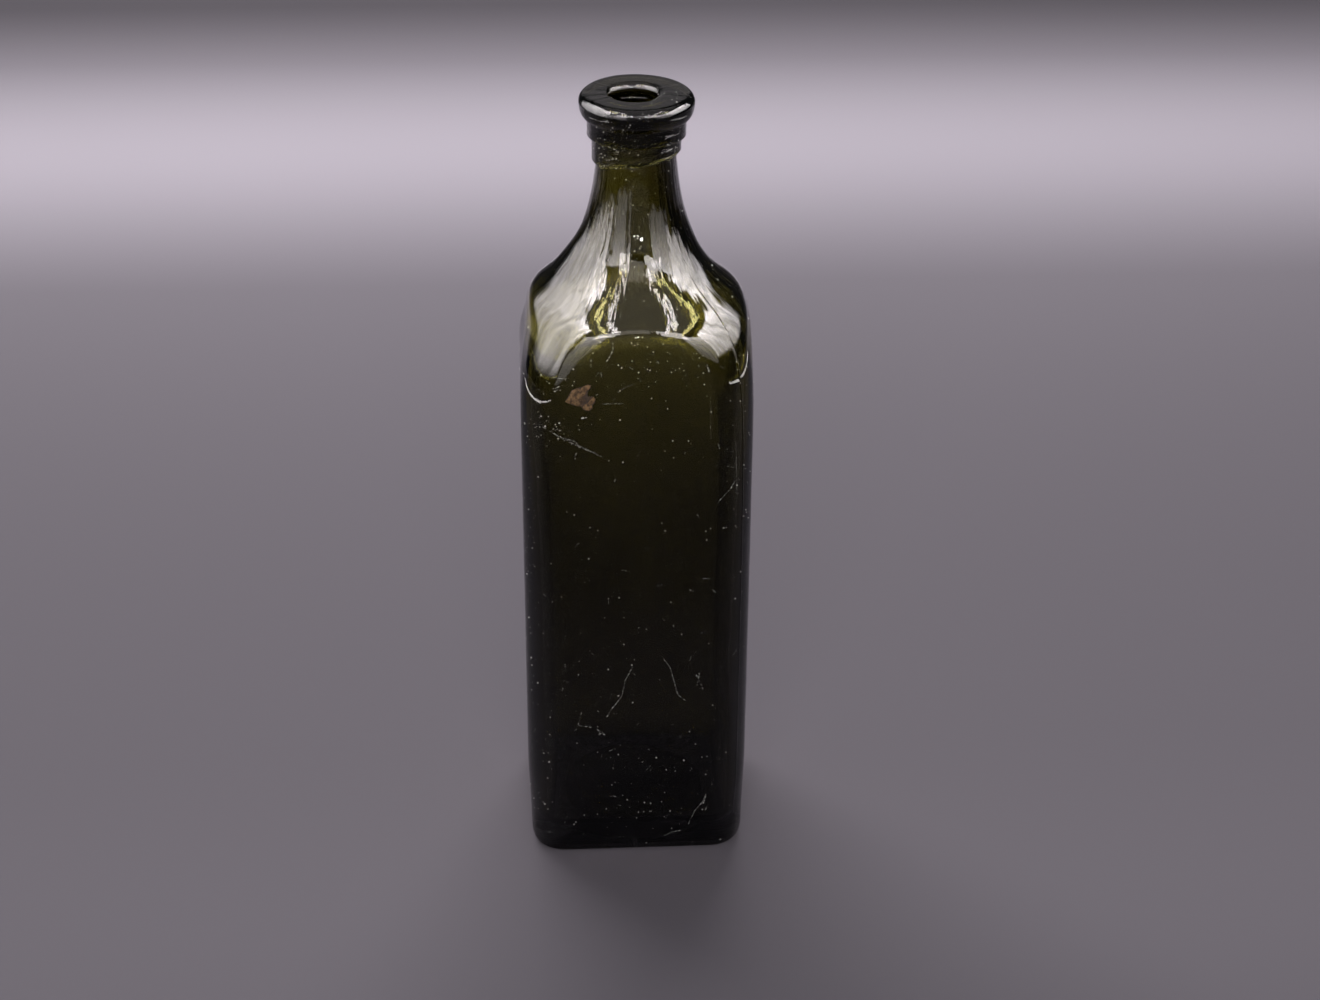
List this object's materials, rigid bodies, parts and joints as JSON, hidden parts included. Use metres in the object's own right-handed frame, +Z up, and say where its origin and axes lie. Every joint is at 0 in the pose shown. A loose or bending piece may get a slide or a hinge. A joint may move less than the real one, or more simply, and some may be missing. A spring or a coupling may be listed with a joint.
{
  "type": "square glass bottle",
  "caption": "Square dark olive glass bottle with rounded corners, a bell-shaped shoulder, a narrow bore and an applied stepped lip, for holding and pouring liquids.",
  "frame": {"origin": "centre of the base, on the surface that the bottle stands on", "axes": "+Z up along the neck, the front wall with the label scrap faces -Y, +X to the right of someone looking at it"},
  "size_m": [0.062, 0.0622, 0.2155],
  "materials": {
    "olive_glass": "gloss, with fine scratches and dust",
    "lip_glass": "gloss, fire-finished and slightly uneven",
    "old_paper": "matte, stained brown and torn"
  },
  "bodies": {
    "root": {"glass_body": "olive_glass", "applied_lip": "lip_glass", "label_scrap": "old_paper"}
  },
  "joints": []
}
